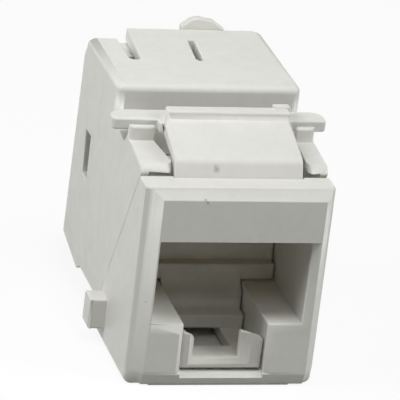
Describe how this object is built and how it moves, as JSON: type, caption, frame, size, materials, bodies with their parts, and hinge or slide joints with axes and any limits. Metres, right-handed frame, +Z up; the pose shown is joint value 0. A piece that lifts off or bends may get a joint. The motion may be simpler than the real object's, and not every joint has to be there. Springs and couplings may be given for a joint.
{
  "type": "keystone jack",
  "caption": "Snap-in network socket for a panel or wall plate: plug port in front, sprung latch on top, cable terminals and cap behind.",
  "frame": {"origin": "bottom centre of the whole jack, on the surface that it stands on", "axes": "+X to the right of the plug port, +Y back towards the cable, +Z up towards the latch"},
  "size_m": [0.0174, 0.025, 0.0207],
  "materials": {
    "white_plastic": "fine moulded satin, off-white",
    "insert_plastic": "moulded, light grey",
    "contact_gold": "gold plated wire",
    "terminal_bronze": "tinned phosphor bronze strip",
    "board_laminate": "green lacquered glass laminate"
  },
  "bodies": {
    "root": {"circuit_board": "board_laminate", "contact_insert": "insert_plastic", "front_housing": "white_plastic", "idc_block": "insert_plastic", "idc_terminal_1": "terminal_bronze", "idc_terminal_2": "terminal_bronze", "idc_terminal_3": "terminal_bronze", "idc_terminal_4": "terminal_bronze", "idc_terminal_5": "terminal_bronze", "idc_terminal_6": "terminal_bronze", "idc_terminal_7": "terminal_bronze", "idc_terminal_8": "terminal_bronze", "rear_housing": "white_plastic", "termination_cap": "white_plastic"},
    "latch": {"latch_lever": "white_plastic"},
    "contacts": {"contact_spring_1": "contact_gold", "contact_spring_2": "contact_gold", "contact_spring_3": "contact_gold", "contact_spring_4": "contact_gold", "contact_spring_5": "contact_gold", "contact_spring_6": "contact_gold", "contact_spring_7": "contact_gold", "contact_spring_8": "contact_gold"}
  },
  "joints": [
    {"name": "latch_press", "type": "hinge", "parent": "root", "child": "latch", "pos_m": [0.00025, -0.0095, 0.01555], "axis": [-1, 0, 0], "range_deg": [0, 7.5], "stiffness_Nm_per_rad": 0.3},
    {"name": "contact_lift", "type": "hinge", "parent": "root", "child": "contacts", "pos_m": [0, 0.0013, 0.01005], "axis": [-1, 0, 0], "range_deg": [0, 4.5], "stiffness_Nm_per_rad": 0.3}
  ]
}
